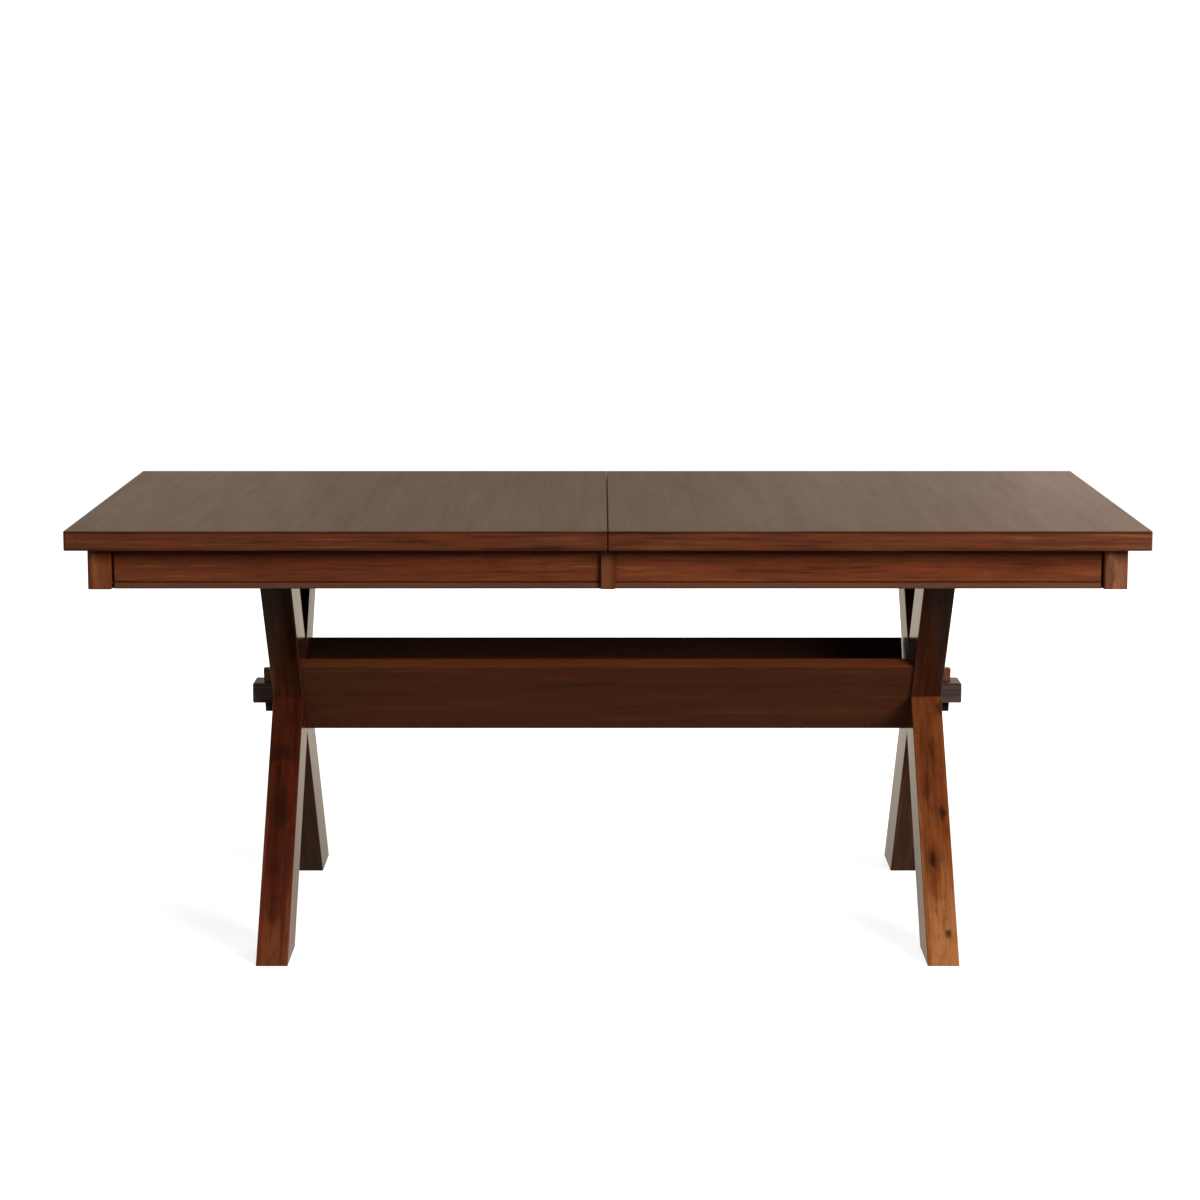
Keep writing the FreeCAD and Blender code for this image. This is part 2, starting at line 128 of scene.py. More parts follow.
# %% [markdown]
# ## The studio: white paper behind, a dim room in front
# The table stands on white paper. A strong lamp on the paper would make it white, but it would also bleach
# the wood. So the paper is only shown white to the camera, through the Light Path node, and its own shade
# stays modest for the light that it throws back. Polished faces that look to the back mirror the white
# paper, and those that look to the front mirror the dim room behind the camera. The mirrored white is a
# little warm.

# %% World
WHITE, WARM_PAPER = "#ffffff", "#fff6e4"
ROOM_LIGHT, FRONT_ROOM = 0.10, 0.06
# The dim room gives way to the paper while a direction's part along Y goes from minus to plus this.
SIDEWAYS = 0.5
world = bpy.data.worlds.new("white_studio")
world.use_nodes = True
world.node_tree.nodes.clear()
scene.world = world
ray = add(world, "LightPath", out="Is Camera Ray").node
direction = add(world, "TexCoord", out="Generated")
backwards = add(world, "SeparateXYZ", {0: direction}, out="Y")
turn = {0: backwards, 1: -SIDEWAYS, 2: SIDEWAYS, 3: FRONT_ROOM, 4: 1.0}
paper_side = add(world, "MapRange", turn, interpolation_type="SMOOTHSTEP")
mirrored = add(world, "Math", {0: ray.outputs["Is Glossy Ray"], 1: paper_side}, operation="MULTIPLY")
direct = {0: ray.outputs["Is Camera Ray"], 1: ray.outputs["Is Transmission Ray"]}
seen = add(world, "Math", direct, operation="MAXIMUM")
shown = add(world, "Math", {0: seen, 1: mirrored}, operation="MAXIMUM")
strength = add(world, "Math", {0: shown, 1: ROOM_LIGHT}, operation="MAXIMUM")
warmth = {0: ray.outputs["Is Glossy Ray"], 6: linear(WHITE), 7: linear(WARM_PAPER)}
paper_white = add(world, "Mix", warmth, out=2, data_type="RGBA")
sky = add(world, "Background", {"Color": paper_white, "Strength": strength})
add(world, "OutputWorld", {"Surface": sky})
print("world: white to the camera,", ROOM_LIGHT, "for the light it gives")

# %% Floor
FLOOR_SIZE, FLOOR_GAP = 24, 0.5 * MM
bpy.ops.object.select_all(action="DESELECT")
bpy.ops.mesh.primitive_plane_add(size=FLOOR_SIZE, location=(0, 0, -FLOOR_GAP))
floor = bpy.context.object
floor.name = "paper_floor"
print("floor:", FLOOR_SIZE, "m of paper,", FLOOR_GAP / MM, "mm under the feet")

# %% [markdown]
# The floor's paper does the same as the world, with three faces. To the camera it glows, a little less near
# the table, so that a shadow can show. In a mirror it is dim in front, half bright under the table and
# brighter behind. For all other light it is a plain grey. From below it is clear, so that the underside of
# the table can be looked at.

# %% Paper
GLOW_START, GLOW_END, LEAST_GLOW = 0.7, 2.0, 0.82
FRONT_START, FRONT_END, FRONT_SHADE, UNDER_SHADE = -0.9, -0.45, 0.05, 0.5
REAR_START, REAR_END, REAR_SHADE = -0.2, 2.5, 0.38
# Matt paper scatters light evenly: plain white to the eye, with a soft shadow and no gloss.
paper = new_material("pale_matt_studio_paper")
floor.data.materials.append(paper)
ray = add(paper, "LightPath", out="Is Camera Ray").node
direct = {0: ray.outputs["Is Camera Ray"], 1: ray.outputs["Is Transmission Ray"]}
seen = add(paper, "Math", direct, operation="MAXIMUM")
spot = add(paper, "TexCoord", out="Object")
far = add(paper, "VectorMath", {0: spot, 1: (1, 1, 0)}, operation="MULTIPLY")
far = add(paper, "VectorMath", {0: far}, out="Value", operation="LENGTH")
glow = {0: far, 1: GLOW_START, 2: GLOW_END, 3: LEAST_GLOW, 4: 1.0}
glow = add(paper, "MapRange", glow, interpolation_type="SMOOTHSTEP")
matt = add(paper, "BsdfDiffuse", {"Color": linear("#a9a9a9")})
glowing = add(paper, "Emission", {"Color": linear(WHITE), "Strength": glow})
lit = add(paper, "AddShader", {0: matt, 1: glowing})
depth = add(paper, "SeparateXYZ", {0: spot}, out="Y")
near = {0: depth, 1: FRONT_START, 2: FRONT_END, 3: FRONT_SHADE, 4: UNDER_SHADE}
near = add(paper, "MapRange", near, interpolation_type="SMOOTHSTEP")
rear = {0: depth, 1: REAR_START, 2: REAR_END, 4: REAR_SHADE}
rear = add(paper, "MapRange", rear, interpolation_type="SMOOTHSTEP")
shade = add(paper, "Math", {0: near, 1: rear}, operation="ADD")
in_mirrors = add(paper, "Emission", {"Color": linear("#fff0dc"), "Strength": shade})
plain = add(paper, "BsdfDiffuse", {"Color": linear("#6e6e6e")})
unseen = add(paper, "MixShader", {0: ray.outputs["Is Glossy Ray"], 1: plain, 2: in_mirrors})
surface = add(paper, "MixShader", {0: seen, 1: unseen, 2: lit})
from_below = add(paper, "NewGeometry", out="Backfacing")
surface = add(paper, "MixShader", {0: from_below, 1: surface, 2: add(paper, "BsdfTransparent")})
add(paper, "OutputMaterial", {"Surface": surface})
print("paper: brighter to the camera from", GLOW_START, "to", GLOW_END, "m, clear from below")

# %% [markdown]
# ## Seven soft boxes
# A box straight in front would leave a grey haze on every polished front face. So the two main boxes stand
# well to the sides, at about 38 degrees, and are left out of mirrors. The right one is stronger, as the
# right half of the table is brighter. A weak box above lifts the top and the feet. Three weak, warm ones
# behind are mirrored in the top and give its ends a soft sheen. The last one fills the back for other
# views.

# %% Lamps
WARM = "#ffe3d1"
TABLE_MIDDLE = (0, 0, 0.6)


def soft_box(name, place, aim, size, watts, colour=WHITE, mirrored=False):
    """A rectangular area lamp at place that faces aim, with its two sides in metres."""
    bpy.ops.object.select_all(action="DESELECT")
    bpy.ops.object.light_add(type="AREA", location=place)
    lamp = bpy.context.object
    lamp.name = name
    lamp.data.shape = "RECTANGLE"
    lamp.data.size, lamp.data.size_y = size
    lamp.data.energy = watts
    lamp.data.color = linear(colour)[:3]
    lamp.rotation_euler = (Vector(aim) - Vector(place)).to_track_quat("-Z", "Y").to_euler()
    lamp.visible_camera = False
    lamp.visible_glossy = mirrored


soft_box("right_box", (3.1, -3.9, 2.5), TABLE_MIDDLE, (2.2, 2.0), 340)
soft_box("left_box", (-4.3, -5.5, 3.2), TABLE_MIDDLE, (2.4, 2.6), 86)
soft_box("top_box", (0.4, -0.9, 3.3), (0, -0.2, 0.7), (2.6, 1.4), 24)
soft_box("back_right_box", (2.0, 3.6, 1.25), (0.6, 0.1, 0.76), (1.6, 0.8), 15, WARM, mirrored=True)
soft_box("back_middle_box", (1.1, 3.6, 0.95), (0.5, 0.1, 0.76), (1.4, 0.3), 6, WARM, mirrored=True)
soft_box("back_left_box", (-1.7, 3.6, 1.25), (-0.6, 0.1, 0.76), (1.6, 0.8), 4.5, WARM, mirrored=True)
soft_box("rear_box", (0.8, 4.8, 2.0), (0, 0, 0.5), (2.4, 2.0), 170)

# %% [markdown]
# ## Stained acacia
# The table is a mid-brown hardwood, stained a dark red-brown and sprayed with satin lacquer. A photograph of
# wood could be wrapped round each board. Here the wood is solid instead: rings run round a far-off pith,
# fibres and pores run along the board, and each face simply cuts through them, so end grain and face grain
# agree. Along the grain everything is stretched, across it everything is fine. A Mapping node turns the
# grain to X. To the eye this gives red-brown stripes, darker lines between them, and a soft gloss that the
# pores break up.

# %% Grain and streaks
# Most of a noise lies between these two values, so they are stretched to 0 and 1.
NOISE_LOW, NOISE_HIGH = 0.25, 0.75
NOISE_ROUGHNESS = 0.6


def along_the_grain(wood, turn, pith):
    """Object coordinates with the grain turned to X and the pith moved to Y = Z = 0."""
    spot = add(wood, "TexCoord", out="Object")
    angles = [math.radians(angle) for angle in turn]
    return add(wood, "Mapping", {"Vector": spot, "Rotation": angles, "Location": pith})


def streaks(wood, grain, size, detail=3):
    """Noise from 0 to 1 in streaks, whose size is a length and a width in millimetres."""
    length, width = size
    scale = (1000 / length, 1000 / width, 1000 / width)
    stretched = add(wood, "VectorMath", {0: grain, 1: scale}, operation="MULTIPLY")
    noise = {"Vector": stretched, "Scale": 1.0, "Detail": detail, "Roughness": NOISE_ROUGHNESS}
    return add(wood, "MapRange", {0: add(wood, "TexNoise", noise), 1: NOISE_LOW, 2: NOISE_HIGH})


print("streaks: noise from", NOISE_LOW, "to", NOISE_HIGH, "is stretched to 0 and 1")

# %% Rings
DRIFT = (420, 90)
DRIFT_DEPTH, KNOT_PUSH = 18 * MM, 12 * MM


def rings(wood, grain, spacing, bulge=None):
    """Growth rings of that spacing in millimetres, bent by a slow drift and by the knots."""
    across = add(wood, "VectorMath", {0: grain, 1: (0, 1, 1)}, operation="MULTIPLY")
    radius = add(wood, "VectorMath", {0: across}, out="Value", operation="LENGTH")
    drift = streaks(wood, grain, DRIFT, 2)
    radius = add(wood, "Math", {0: drift, 1: DRIFT_DEPTH, 2: radius}, operation="MULTIPLY_ADD")
    if bulge:
        radius = add(wood, "Math", {0: bulge, 1: KNOT_PUSH, 2: radius}, operation="MULTIPLY_ADD")
    turns = add(wood, "Math", {0: radius, 1: 2 * math.pi / (spacing * MM)}, operation="MULTIPLY")
    wave = add(wood, "Math", {0: turns}, operation="SINE")
    return add(wood, "MapRange", {0: wave, 1: -1, 2: 1})


print("rings: drift of", DRIFT_DEPTH / MM, "mm, pushed aside by", KNOT_PUSH / MM, "mm at a knot")

# %% [markdown]
# ## Knots, worn edges, dark corners and bands
# A knot is the root of a branch. It is a dark plug, and the rings swerve round it. Edges get rubbed through
# to paler wood. Corners are darkened with painted shade, and some stain gathers there too. The Bevel node
# tells where a face is near an edge, and the Ambient Occlusion node tells where it is in a corner, so no line
# has to be painted by hand. A band is for what lies at a known height or place, such as the thin dark edge of
# the veneer.

# %% Knots
KNOT_DEPTH = 60
# A knot fades out at this many of its half sizes, and its outline wanders in waves of about 14 mm.
KNOT_FADE = 2.3
WAVES_PER_METRE = 70.0
WANDER = Vector((30, 0, 12)) * MM


def in_face(knots, deep):
    """Knots of (along, across, half length, half width, strength), set at one depth in the wood."""
    return [(along, deep, across, *rest) for along, across, *rest in knots]


def knot_field(wood, grain, knots):
    """Ragged soft spots at the knots, with places and half sizes in millimetres."""
    total = None
    wander = {"Vector": grain, "Scale": WAVES_PER_METRE, "Detail": 2.0}
    wander = add(wood, "TexNoise", wander, out="Color")
    bent = add(wood, "VectorMath", {0: wander, 1: WANDER, 2: grain}, operation="MULTIPLY_ADD")
    bent = add(wood, "VectorMath", {0: bent, 1: WANDER / 2}, operation="SUBTRACT")
    for along, deep, across, half_length, half_width, strength in knots:
        place = [v * MM for v in (along, deep, across)]
        size = [1000 / half_length, 1000 / KNOT_DEPTH, 1000 / half_width]
        off = add(wood, "VectorMath", {0: bent, 1: place}, operation="SUBTRACT")
        off = add(wood, "VectorMath", {0: off, 1: size}, operation="MULTIPLY")
        off = add(wood, "VectorMath", {0: off}, out="Value", operation="LENGTH")
        spot = {0: off, 1: KNOT_FADE, 2: 0.0, 4: strength}
        spot = add(wood, "MapRange", spot, interpolation_type="SMOOTHERSTEP")
        total = add(wood, "Math", {0: total, 1: spot}, operation="MAXIMUM") if total else spot
    return total


print("knots:", KNOT_DEPTH, "mm deep on each side of their middle")

# %% Edges, corners, bands
# How far the rounded normal agrees with the flat one, and how open a corner is, from none to full effect.
EDGE_START, EDGE_FULL = 0.995, 0.85
CORNER_START, CORNER_FULL = 0.85, 0.35
# A band's sides are soft from this much more to this much less than its half width.
BAND_OUT, BAND_IN = 1.3, 0.7


def worn_edge(wood, width):
    """1 near an edge, within that width in millimetres, and 0 on the flat."""
    rounded = add(wood, "Bevel", {"Radius": width * MM}, samples=4)
    flat = add(wood, "NewGeometry", out="Normal")
    same = add(wood, "VectorMath", {0: rounded, 1: flat}, out="Value", operation="DOT_PRODUCT")
    return add(wood, "MapRange", {0: same, 1: EDGE_START, 2: EDGE_FULL})


def dark_corner(wood, reach):
    """1 deep in a corner between faces, 0 in the open. The reach is in millimetres."""
    open_sky = add(wood, "AmbientOcclusion", {"Distance": reach * MM}, out="AO", samples=4)
    return add(wood, "MapRange", {0: open_sky, 1: CORNER_START, 2: CORNER_FULL})


def band(wood, axis, centre, half):
    """1 in a band across one axis, 0 outside it. Centre and half width in millimetres."""
    spot = add(wood, "TexCoord", out="Object")
    run = add(wood, "SeparateXYZ", {0: spot}, out=axis)
    off = add(wood, "Math", {0: run, 1: centre * MM}, operation="SUBTRACT")
    off = add(wood, "Math", {0: off}, operation="ABSOLUTE")
    return add(wood, "MapRange", {0: off, 1: half * MM * BAND_OUT, 2: half * MM * BAND_IN})


print("bands: soft from", BAND_OUT, "to", BAND_IN, "of their half width")

# %% [markdown]
# ## One recipe for all the stained boards
# Every board gets the same recipe with its own numbers: the direction of its grain, its three colours from
# dark to light, the width of its rings, and how dull its lacquer is. That is how a workshop does it too: one
# stain, and each board takes it a little differently. Four layers make the figure: a slow change of tone,
# flames of about a finger's width, rings, and fibres. Real fibres and pores are 0.1 to 0.3 mm wide, which is
# finer than a pixel of this view, so they are drawn 2.2 mm and 0.9 mm wide, as coarse as they need to be to
# show.

# %% The figure of the wood
ALONG_X, ALONG_Y, ALONG_Z = (0, 0, 0), (0, 0, -90), (0, 90, 0)
EVEN = (0.30, 0.36, 0.10, 0.24)
TONE, FLAME, FIBRE = (500, 45), (240, 11), (70, 2.2)


def figure_of(wood, grain, spacing, bulge, shares, fades):
    """The light and dark of the grain, about 0.5 on average, with any painted light and shade along it.

    shares: of tone, flames, rings and fibres. The ramps paint light and shade: (start, end, first, last),
    what is added from first to last between two places along the grain, in millimetres.
    """
    layers = (
        streaks(wood, grain, TONE),
        streaks(wood, grain, FLAME),
        rings(wood, grain, spacing, bulge),
        streaks(wood, grain, FIBRE),
    )
    figure = 0.0
    for layer, share in zip(layers, shares):
        figure = add(wood, "Math", {0: layer, 1: share, 2: figure}, operation="MULTIPLY_ADD")
    run = add(wood, "SeparateXYZ", {0: grain}, out="X")
    # Painted light and shade: each ramp lightens or darkens the figure between two places along the grain.
    for start, end, first, last in fades:
        ramp = {0: run, 1: start * MM, 2: end * MM, 3: first, 4: last}
        painted_lift = add(wood, "MapRange", ramp, interpolation_type="SMOOTHSTEP")
        figure = add(wood, "Math", {0: figure, 1: painted_lift}, operation="ADD")
    return figure


print("figure: four layers, shares add up to", sum(EVEN))

# %% The stain
BLUSH, CLOUD = (170, 16), (75, 26)
BLUSH_START, BLUSH_FULL, BLUSH_SHARE = 0.5, 0.9, 0.7
CLOUD_START, CLOUD_FULL = 0.55, 1.0


def stain(wood, grain, figure, colours, spread, red, mottle):
    """Dark, middle and light stain by the figure, with red streaks and dark clouds if asked for."""
    dark, middle, light = colours
    low = {0: figure, 1: 0.5 - spread, 2: 0.5}
    low = add(wood, "MapRange", low, interpolation_type="SMOOTHSTEP")
    high = {0: figure, 1: 0.5, 2: 0.5 + spread}
    high = add(wood, "MapRange", high, interpolation_type="SMOOTHSTEP")
    colour = add(wood, "Mix", {0: low, 6: dark, 7: middle}, out=2, data_type="RGBA")
    colour = add(wood, "Mix", {0: high, 6: colour, 7: light}, out=2, data_type="RGBA")
    if red:
        blush = streaks(wood, grain, BLUSH)
        blush = add(wood, "MapRange", {0: blush, 1: BLUSH_START, 2: BLUSH_FULL, 4: BLUSH_SHARE})
        colour = add(wood, "Mix", {0: blush, 6: colour, 7: linear(red)}, out=2, data_type="RGBA")
    if mottle:
        cloud = streaks(wood, grain, CLOUD)
        cloud = add(wood, "MapRange", {0: cloud, 1: CLOUD_START, 2: CLOUD_FULL, 4: mottle})
        colour = add(wood, "Mix", {0: cloud, 6: colour, 7: dark}, out=2, data_type="RGBA")
    return colour


print("stain: red streaks of", BLUSH, "mm and clouds of", CLOUD, "mm")

# %% Wear and painted corner shade
RUB = (24, 6)
RUB_WIDTH, CORNER_REACH = 2.5, 5
# The colour of the painted shade in corners, with some stain gathered there.
CORNER_SHADE_AND_STAIN = "#140a06"


def wear_and_corner_shade(wood, grain, colour, light, edge, corner):
    """Edges rubbed here and there to the light colour, and corners darkened: painted shade, with some stain.
    """
    chance = streaks(wood, grain, RUB, 2)
    rubbed = add(wood, "Math", {0: worn_edge(wood, RUB_WIDTH), 1: chance}, operation="MULTIPLY")
    rubbed = add(wood, "Math", {0: rubbed, 1: edge * 2}, operation="MULTIPLY", use_clamp=True)
    colour = add(wood, "Mix", {0: rubbed, 6: colour, 7: light}, out=2, data_type="RGBA")
    # Painted shade: the Ambient Occlusion mask darkens corners and recesses towards that colour.
    painted_corner_shade = add(wood, "Math", {0: dark_corner(wood, CORNER_REACH), 1: corner}, operation="MULTIPLY")
    return add(wood, "Mix", {0: painted_corner_shade, 6: colour, 7: linear(CORNER_SHADE_AND_STAIN)}, out=2, data_type="RGBA")


print("wear: edges over", RUB_WIDTH, "mm, corners over", CORNER_REACH, "mm")

# %% The recipe
PORE = (14, 0.9)
PORE_START, PORE_FULL, PORE_SHARE = 0.72, 0.95, 0.45
KNOT_HEART = "#26120a"
GLOSS_CHANGE = 0.06


def wood_layers(
    wood, colours, turn, pith, spacing=7, rough=0.28, edge=0.35, corner=0.6, knots=(), shares=EVEN,
    fades=(), spread=0.30, red=None, mottle=0.0,
):
    """Colour, roughness and height of stained wood. colours are dark, middle and light."""
    grain = along_the_grain(wood, turn, pith)
    bulge = knot_field(wood, grain, knots) if knots else None
    figure = figure_of(wood, grain, spacing, bulge, shares, fades)
    dark, middle, light = [linear(c) for c in colours]
    colour = stain(wood, grain, figure, (dark, middle, light), spread, red, mottle)
    pore = streaks(wood, grain, PORE, 1)
    pore = add(wood, "MapRange", {0: pore, 1: PORE_START, 2: PORE_FULL, 4: PORE_SHARE})
    colour = add(wood, "Mix", {0: pore, 6: colour, 7: dark}, out=2, data_type="RGBA")
    if bulge:
        colour = add(wood, "Mix", {0: bulge, 6: colour, 7: linear(KNOT_HEART)}, out=2, data_type="RGBA")
    colour = wear_and_corner_shade(wood, grain, colour, light, edge, corner)
    gloss = add(wood, "MapRange", {0: figure, 3: rough + GLOSS_CHANGE, 4: rough - GLOSS_CHANGE})
    height = add(wood, "Math", {0: pore, 1: -1.0, 2: figure}, operation="MULTIPLY_ADD")
    return colour, gloss, height


print("recipe: pores of", PORE, "mm, roughness changes by", GLOSS_CHANGE)

# %% [markdown]
# Lacquer is a clear film over the stain. A coat layer could stand for it. Here the film is the shader's own
# gloss, with the IOR of lacquer, because a thin satin film shows no edge between itself and the wood. Its
# specular level is low: the sprayed film is full of fine matting powder.

# %% Lacquer
LACQUER_IOR, SATIN = 1.5, 0.10
BUMP_STRENGTH, BUMP_DEPTH = 0.12, 0.6 * MM


def lacquer(wood, colour, gloss, height, shine=SATIN):
    """The lacquered surface over the wood, with the wood's colour, roughness and fine bump."""
    bump = {"Height": height, "Strength": BUMP_STRENGTH, "Distance": BUMP_DEPTH}
    film = {"Base Color": colour, "Roughness": gloss, "Normal": add(wood, "Bump", bump)}
    film.update({"IOR": LACQUER_IOR, "Specular IOR Level": shine})
    add(wood, "OutputMaterial", {"Surface": add(wood, "BsdfPrincipled", film)})
    return wood


def stained_wood(name, colours, turn, pith, shine=SATIN, **layers):
    """A whole material: the recipe under lacquer."""
    wood = new_material(name)
    return lacquer(wood, *wood_layers(wood, colours, turn, pith, **layers), shine)


def dress(material, *names):
    """Puts a material on CAD nodes by name, through their material slots."""
    for name in names:
        for slot in nodes[name].material_slots:
            slot.material = material
    print(material.name, "on", len(names), "nodes")


print("lacquer: IOR", LACQUER_IOR, "and specular level", SATIN)

# %% [markdown]
# ## The top
# Its panels are veneered and its edges are solid lippings, mitred at the corners. The grain of the veneer
# runs from front to back, as it does on most tables that take a leaf, so that a leaf can match it. From the
# camera the top is seen at a flat angle, where lacquer mirrors most, so its lacquer is duller than that of
# the legs. The veneer is carried over the lippings, and its cut edge shows as a thin dark line under the
# arris. Cutting the lipping's mesh in two could give it two woods. Mixing them by the direction of the face
# leaves the mesh alone.

# %% Top panels
TOP_SHINE = 0.12
VENEER = dict(
    colours=("#2b180b", "#3f2612", "#4f341e"), turn=ALONG_Y, pith=(0.0, 0.4, -0.5), spacing=22, rough=0.55,
    edge=0.3, corner=0.5, shares=(0.40, 0.22, 0.06, 0.32), spread=0.75,
)
# Sliced veneer under dull lacquer: an even dark brown with faint stripes and a broad, blurred sheen.
veneer = stained_wood("acacia_veneer_dull_lacquer", shine=TOP_SHINE, **VENEER)
dress(veneer, "left_top_panel", "right_top_panel")

# %% Sides of the lippings
LIP_TOP = cad_box[1].z / MM
LIP_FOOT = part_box("left_top_panel")[0].z / MM
# Heights in millimetres and shares: painted shade along the foot, and the veneer's cut edge under the arris.
LOWER_SHADE_HALF, LOWER_SHADE_SHARE = 4.5, 0.4
CUT_EDGE_DOWN, CUT_EDGE_HALF, CUT_EDGE_SHARE = 2.6, 1.2, 0.75
LIPPING = dict(colours=("#30150b", "#542d1b", "#74462e"), red="#662c1a", mottle=0.35)


def lipping_side(wood, turn, pith):
    """Colour, roughness and height of a lipping's side, with painted shade along its foot and its dark cut
    edge.
    """
    colour, gloss, height = wood_layers(wood, turn=turn, pith=pith, **LIPPING)
    # Painted shade: the side is darkened along its foot.
    lower_shade = band(wood, "Z", LIP_FOOT, LOWER_SHADE_HALF)
    lower_shade = add(wood, "Math", {0: lower_shade, 1: LOWER_SHADE_SHARE}, operation="MULTIPLY")
    colour = add(wood, "Mix", {0: lower_shade, 6: colour, 7: linear("#2a1209")}, out=2, data_type="RGBA")
    line = band(wood, "Z", LIP_TOP - CUT_EDGE_DOWN, CUT_EDGE_HALF)
    line = add(wood, "Math", {0: line, 1: CUT_EDGE_SHARE}, operation="MULTIPLY")
    colour = add(wood, "Mix", {0: line, 6: colour, 7: linear("#23100a")}, out=2, data_type="RGBA")
    return colour, gloss, height


print("lippings: from", round(LIP_FOOT, 1), "to", round(LIP_TOP, 1), "mm high")

# %% Lippings
# The veneer starts where a face looks up this much, and covers it where it looks up that much.
VENEER_START, VENEER_FULL = 0.75, 0.97
SEAM_HALF = 1.3


def veneered_lipping(name, turn, pith):
    """Solid lipping on its sides, with the veneer of the panel carried over its upper face."""
    wood = new_material(name)
    colour, gloss, height = lipping_side(wood, turn, pith)
    top = wood_layers(wood, **VENEER)
    normal = add(wood, "NewGeometry", out="Normal")
    up = add(wood, "SeparateXYZ", {0: normal}, out="Z")
    over = add(wood, "MapRange", {0: up, 1: VENEER_START, 2: VENEER_FULL})
    colour = add(wood, "Mix", {0: over, 6: colour, 7: top[0]}, out=2, data_type="RGBA")
    gloss = add(wood, "Mix", {0: over, 2: gloss, 3: top[1]})
    height = add(wood, "Mix", {0: over, 2: height, 3: top[2]})
    # At the seam the arris is painted almost black, and the two faces that meet dark brown and dull: painted
    # shade of the narrow gap between the halves.
    seam = band(wood, "X", 0, SEAM_HALF)
    meeting = add(wood, "SeparateXYZ", {0: normal}, out="X")
    meeting = add(wood, "Math", {0: meeting}, operation="ABSOLUTE")
    seam_inner_shade = {0: meeting, 6: linear("#0e0805"), 7: linear("#2e190e")}
    seam_inner_shade = add(wood, "Mix", seam_inner_shade, out=2, data_type="RGBA")
    colour = add(wood, "Mix", {0: seam, 6: colour, 7: seam_inner_shade}, out=2, data_type="RGBA")
    gloss = add(wood, "Mix", {0: seam, 2: gloss, 3: 1.0})
    return lacquer(wood, colour, gloss, height, TOP_SHINE)


# Solid lipping under satin lacquer: red streaks along the edge, a dark line at the veneer, pale rubbed spots.
lipping = veneered_lipping("acacia_lipping_satin_lacquer", ALONG_X, (0, 0.45, -0.7))
dress(lipping, *[f"{half}_{side}_lipping" for half in ("left", "right") for side in ("front", "back")])
end_lipping = veneered_lipping("acacia_end_lipping_satin_lacquer", ALONG_Y, (0, 0.3, -0.7))
dress(end_lipping, *[f"{half}_{side}_lipping" for half in ("left", "right") for side in ("end", "seam")])

# %% [markdown]
# ## Aprons and posts
# The apron boards have their grain along their length and the posts stand upright, so their grain does too.
# One wood could serve for all the posts, but then only one of them would show its middle. Each post is sawn
# with its pith close behind one face, so a few wide rings make an upright flame in the middle of that face.
# The posts took the stain more lightly. The bead along the foot of the apron is painted a little greyer, a
# painted sheen for the light that its round catches.

# %% Aprons
APRON_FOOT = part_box("left_front_apron")[0].z / MM
BEAD_HIGH, BEAD_SHEEN_SHARE = 9.5, 0.6
APRON = dict(
    colours=("#38180c", "#5c2e1a", "#744126"), spacing=6, red="#72341e", mottle=0.3,
    shares=(0.40, 0.20, 0.08, 0.32),
)


def beaded_apron(name, turn, pith):
    """An apron board with a greyer band over the bead along its foot, a painted sheen."""
    wood = new_material(name)
    colour, gloss, height = wood_layers(wood, turn=turn, pith=pith, **APRON)
    # Painted sheen: the bead is mixed towards a greyer colour, for the light that its round catches.
    bead = band(wood, "Z", APRON_FOOT, BEAD_HIGH)
    bead = add(wood, "Math", {0: bead, 1: BEAD_SHEEN_SHARE}, operation="MULTIPLY")
    colour = add(wood, "Mix", {0: bead, 6: colour, 7: linear("#523c30")}, out=2, data_type="RGBA")
    return lacquer(wood, colour, gloss, height)


# Planed boards under satin lacquer: fine red and brown stripes, and a greyer bead that is a painted sheen.
apron = beaded_apron("acacia_apron_satin_lacquer", ALONG_X, (0, 0.38, -0.62))
dress(apron, *[f"{half}_{side}_apron" for half in ("left", "right") for side in ("front", "back")])
end_apron = beaded_apron("acacia_end_apron_satin_lacquer", ALONG_Y, (0, 0.8, -0.62))
dress(end_apron, "left_end_apron", "right_end_apron")

# %% Posts
# The right posts are given lighter, greyer colours than the left ones: painted light for the brighter right
# side.
LEFT_POST = ("#46220f", "#67351d", "#7c4c2b")
RIGHT_POST_LIT = ("#51301f", "#6f422d", "#855b40")
CENTRE_POST = ("#2f160c", "#4b2415", "#643922")
POST_FIGURE = dict(
    spacing=11, shares=(0.30, 0.30, 0.16, 0.24), spread=0.22, mottle=0.3, edge=0.15, corner=0.3
)
PITH_DEPTH = 14 * MM
# Knots in millimetres: height, place across, half height, half width, and strength.
POST_KNOTS = ((690, 12, 12, 7, 0.5), (672, 8, 10, 3, 0.4))


def dress_post(node, colours, knots=()):
    """Upright wood with the pith behind the middle of a post's outer long face, and knots in that face."""
    low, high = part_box(node)
    middle = (low + high) / 2
    inward = PITH_DEPTH if middle.y < 0 else -PITH_DEPTH
    pith = (0, -(middle.y + inward), middle.x)
    spots = in_face(knots, (low.y - middle.y - inward) / MM)
    name = f"acacia_{node}_satin_lacquer"
    dress(stained_wood(name, colours, ALONG_Z, pith, knots=spots, **POST_FIGURE), node)


# Posts sawn close to the pith: a wide upright flame, paler than the boards beside it, with a soft gloss.
dress_post("left_front_post", LEFT_POST)
dress_post("left_back_post", LEFT_POST)
dress_post("right_front_post", RIGHT_POST_LIT, POST_KNOTS)
dress_post("right_back_post", RIGHT_POST_LIT)
dress_post("front_centre_post", CENTRE_POST)
dress_post("back_centre_post", CENTRE_POST)

